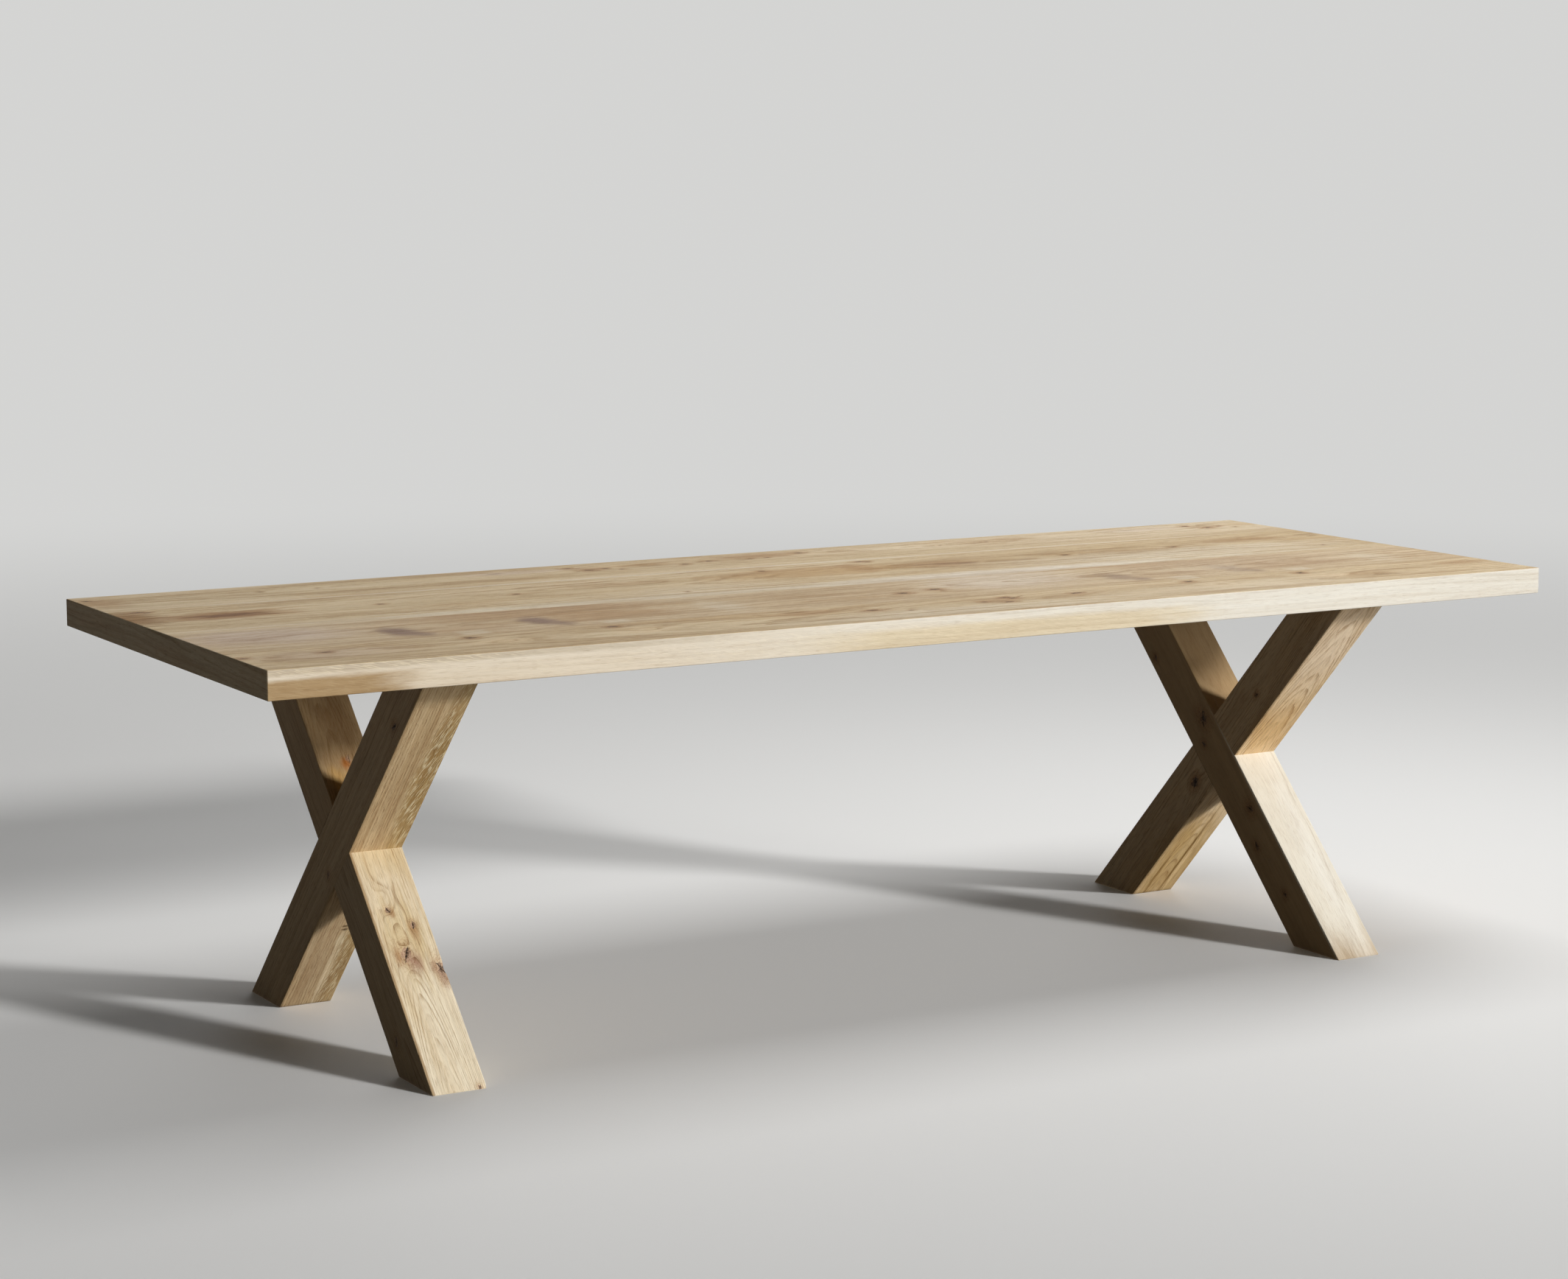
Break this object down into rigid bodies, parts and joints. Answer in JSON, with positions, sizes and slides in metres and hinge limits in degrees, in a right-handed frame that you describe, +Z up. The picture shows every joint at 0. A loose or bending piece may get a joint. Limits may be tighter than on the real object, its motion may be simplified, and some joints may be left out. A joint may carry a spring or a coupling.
{
  "type": "sawbuck table",
  "caption": "Long sawbuck dining table: an oak plank top with a deep mitred edge on half-lapped X trestles, with levelling feet wound up into the soles.",
  "frame": {"origin": "on the floor under the middle of the table", "axes": "+X along the table's length, with -X its left end seen from the front; -Y towards the front; +Z up"},
  "size_m": [2.67, 1, 0.762],
  "materials": {
    "oak_boards": "natural oak, clear matt oil",
    "oak_edge": "natural oak, clear matt oil",
    "oak_legs": "natural oak, clear matt oil",
    "oak_bearers": "planed oak, unfinished",
    "plywood": "birch plywood",
    "beech": "grooved beech dowel",
    "black_steel": "matt black powder coat",
    "zinc_steel": "bright zinc plate",
    "insert_zinc": "yellow zinc",
    "leveller_steel": "zinc plated screw",
    "leveller_nylon": "black nylon"
  },
  "bodies": {
    "table": {"top_board_front": "oak_boards", "top_board_front_middle": "oak_boards", "top_board_back_middle": "oak_boards", "top_board_back": "oak_boards", "edge_strip_front": "oak_edge", "edge_strip_back": "oak_edge", "edge_strip_left": "oak_edge", "edge_strip_right": "oak_edge", "left_front_leg": "oak_legs", "left_back_leg": "oak_legs", "right_front_leg": "oak_legs", "right_back_leg": "oak_legs", "bearer_left": "oak_bearers", "bearer_left_middle": "oak_bearers", "bearer_middle": "oak_bearers", "bearer_right_middle": "oak_bearers", "bearer_right": "oak_bearers", "board_tongue_front": "plywood", "board_tongue_middle": "plywood", "board_tongue_back": "plywood", "left_lap_dowels": "beech", "right_lap_dowels": "beech", "left_top_plate": "black_steel", "right_top_plate": "black_steel", "bearer_screws": "zinc_steel", "left_plate_screws": "zinc_steel", "right_plate_screws": "zinc_steel", "left_top_bolts": "zinc_steel", "right_top_bolts": "zinc_steel", "left_bolt_washers": "zinc_steel", "right_bolt_washers": "zinc_steel", "left_bolt_inserts": "insert_zinc", "right_bolt_inserts": "insert_zinc", "leveller_inserts": "insert_zinc"},
    "left_front_pad": {"left_front_leveller_pad": "leveller_nylon"},
    "left_front_stem": {"left_front_leveller_stem": "leveller_steel"},
    "left_back_pad": {"left_back_leveller_pad": "leveller_nylon"},
    "left_back_stem": {"left_back_leveller_stem": "leveller_steel"},
    "right_front_pad": {"right_front_leveller_pad": "leveller_nylon"},
    "right_front_stem": {"right_front_leveller_stem": "leveller_steel"},
    "right_back_pad": {"right_back_leveller_pad": "leveller_nylon"},
    "right_back_stem": {"right_back_leveller_stem": "leveller_steel"}
  },
  "joints": [
    {"name": "left_front_pad_travel", "type": "slide", "parent": "table", "child": "left_front_pad", "axis": [0, 0, -1], "range_m": [0, 0.012]},
    {"name": "left_front_stem_turn", "type": "hinge", "parent": "left_front_pad", "child": "left_front_stem", "pos_m": [-0.972, -0.34635, 0], "axis": [0, 0, -1], "range_deg": [0, 2880]},
    {"name": "left_back_pad_travel", "type": "slide", "parent": "table", "child": "left_back_pad", "axis": [0, 0, -1], "range_m": [0, 0.012]},
    {"name": "left_back_stem_turn", "type": "hinge", "parent": "left_back_pad", "child": "left_back_stem", "pos_m": [-0.972, 0.34635, 0], "axis": [0, 0, -1], "range_deg": [0, 2880]},
    {"name": "right_front_pad_travel", "type": "slide", "parent": "table", "child": "right_front_pad", "axis": [0, 0, -1], "range_m": [0, 0.012]},
    {"name": "right_front_stem_turn", "type": "hinge", "parent": "right_front_pad", "child": "right_front_stem", "pos_m": [0.972, -0.34635, 0], "axis": [0, 0, -1], "range_deg": [0, 2880]},
    {"name": "right_back_pad_travel", "type": "slide", "parent": "table", "child": "right_back_pad", "axis": [0, 0, -1], "range_m": [0, 0.012]},
    {"name": "right_back_stem_turn", "type": "hinge", "parent": "right_back_pad", "child": "right_back_stem", "pos_m": [0.972, 0.34635, 0], "axis": [0, 0, -1], "range_deg": [0, 2880]}
  ],
  "couplings": [
    {"joint": "left_front_stem_turn", "follows": "left_front_pad_travel", "rad_per_m": 4188.8},
    {"joint": "left_back_stem_turn", "follows": "left_back_pad_travel", "rad_per_m": 4188.8},
    {"joint": "right_front_stem_turn", "follows": "right_front_pad_travel", "rad_per_m": 4188.8},
    {"joint": "right_back_stem_turn", "follows": "right_back_pad_travel", "rad_per_m": 4188.8}
  ]
}
